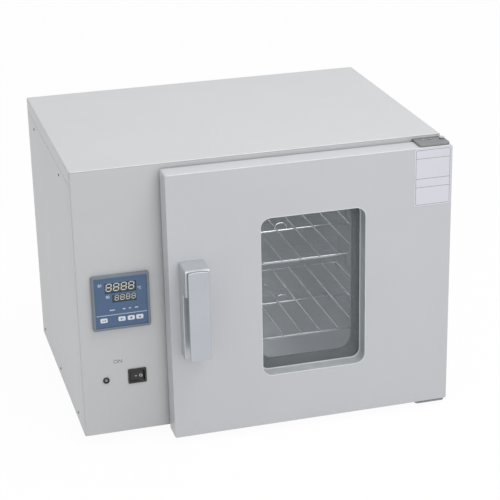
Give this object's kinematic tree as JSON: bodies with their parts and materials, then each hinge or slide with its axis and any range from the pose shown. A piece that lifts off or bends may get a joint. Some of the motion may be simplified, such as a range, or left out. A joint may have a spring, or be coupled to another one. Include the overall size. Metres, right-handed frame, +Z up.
{
  "type": "drying oven",
  "caption": "Bench-top drying oven: sheet-metal cabinet with a control panel, a stainless chamber with wire shelves, and a glazed side-hinged door with a pull lever.",
  "frame": {"origin": "centre of the ground under the whole oven, in the plane that its four feet stand on", "axes": "+X to the right seen from the front, +Y from the door towards the back, +Z up"},
  "size_m": [0.6304, 0.5552, 0.484],
  "materials": {
    "cabinet_paint": "satin",
    "stainless": "satin",
    "chrome": "polished",
    "steel": "satin",
    "black_plastic": "satin",
    "controller_grey": "satin",
    "controller_blue": "satin",
    "key_plastic": "satin",
    "dark_lens": "gloss",
    "rubber": "matte",
    "silicone": "matte",
    "wool": "matte",
    "glazing": "gloss",
    "dark_frame": "matte",
    "lamp_glass": "gloss"
  },
  "bodies": {
    "cabinet": {"front_panel": "cabinet_paint", "top_cover": "cabinet_paint", "left_side_panel": "cabinet_paint", "right_side_panel": "cabinet_paint", "back_panel": "cabinet_paint", "base_pan": "cabinet_paint", "chamber_liner": "stainless", "mouth_frame": "stainless", "duct_plate_left": "stainless", "duct_plate_right": "stainless", "insulation": "wool", "heater": "steel", "fan_motor": "steel", "motor_bracket": "steel", "temperature_probe": "steel", "runner_upper_left": "stainless", "runner_upper_right": "stainless", "runner_lower_left": "stainless", "runner_lower_right": "stainless", "hinge_bracket_top": "steel", "hinge_bracket_bottom": "steel", "hinge_pin_top": "chrome", "hinge_pin_bottom": "chrome", "latch_keeper": "steel", "controller_bezel": "controller_grey", "controller_face": "controller_blue", "controller_housing": "black_plastic", "display_window": "dark_lens", "lamp_bezel": "black_plastic", "lamp_lens": "lamp_glass", "switch_housing": "black_plastic", "vent_tube": "stainless", "cable_gland": "black_plastic", "relay": "steel", "foot_front_left": "rubber", "foot_front_right": "rubber", "foot_back_left": "rubber", "foot_back_right": "rubber"},
    "door": {"door_skin": "cabinet_paint", "door_inner_panel": "stainless", "door_insulation": "wool", "window_frame": "dark_frame", "glass_outer": "glazing", "glass_inner": "glazing", "door_gasket": "silicone", "hinge_block_top": "steel", "hinge_block_bottom": "steel", "handle_base": "chrome", "handle_pin": "steel"},
    "lever": {"handle_lever": "chrome", "latch_hook": "steel"},
    "key_set": {"key_set": "key_plastic"},
    "key_left": {"key_left": "key_plastic"},
    "key_down": {"key_down": "key_plastic"},
    "key_up": {"key_up": "key_plastic"},
    "rocker": {"switch_rocker": "black_plastic"},
    "fan": {"fan_impeller": "steel"},
    "vent_cap": {"vent_shutter": "black_plastic"},
    "upper_shelf": {"shelf_upper": "chrome"},
    "lower_shelf": {"shelf_lower": "chrome"}
  },
  "joints": [
    {"name": "door_hinge", "type": "hinge", "parent": "cabinet", "child": "door", "pos_m": [0.3072, -0.1978, 0.244], "axis": [0, 0, 1], "range_deg": [0, 110]},
    {"name": "lever_pivot", "type": "hinge", "parent": "door", "child": "lever", "pos_m": [-0.1328, -0.2646, 0.3195], "axis": [-1, 0, 0], "range_deg": [0, 12], "stiffness_Nm_per_rad": 4},
    {"name": "set_key_press", "type": "slide", "parent": "cabinet", "child": "key_set", "axis": [0, 1, 0], "range_m": [0, 0.0006], "stiffness_N_per_m": 600},
    {"name": "left_key_press", "type": "slide", "parent": "cabinet", "child": "key_left", "axis": [0, 1, 0], "range_m": [0, 0.0006], "stiffness_N_per_m": 600},
    {"name": "down_key_press", "type": "slide", "parent": "cabinet", "child": "key_down", "axis": [0, 1, 0], "range_m": [0, 0.0006], "stiffness_N_per_m": 600},
    {"name": "up_key_press", "type": "slide", "parent": "cabinet", "child": "key_up", "axis": [0, 1, 0], "range_m": [0, 0.0006], "stiffness_N_per_m": 600},
    {"name": "power_rocker", "type": "hinge", "parent": "cabinet", "child": "rocker", "pos_m": [-0.222, -0.1814, 0.118], "axis": [0, 0, 1], "range_deg": [0, 16]},
    {"name": "fan_spin", "type": "hinge", "parent": "cabinet", "child": "fan", "pos_m": [-0.1152, -0.0134, 0.244], "axis": [1, 0, 0], "continuous": true},
    {"name": "vent_turn", "type": "hinge", "parent": "cabinet", "child": "vent_cap", "pos_m": [0.1548, 0.2646, 0.348], "axis": [0, 1, 0], "range_deg": [0, 90]},
    {"name": "upper_shelf_slide", "type": "slide", "parent": "cabinet", "child": "upper_shelf", "axis": [0, 1, 0], "range_m": [-0.012, 0]},
    {"name": "lower_shelf_slide", "type": "slide", "parent": "cabinet", "child": "lower_shelf", "axis": [0, 1, 0], "range_m": [-0.012, 0]}
  ]
}
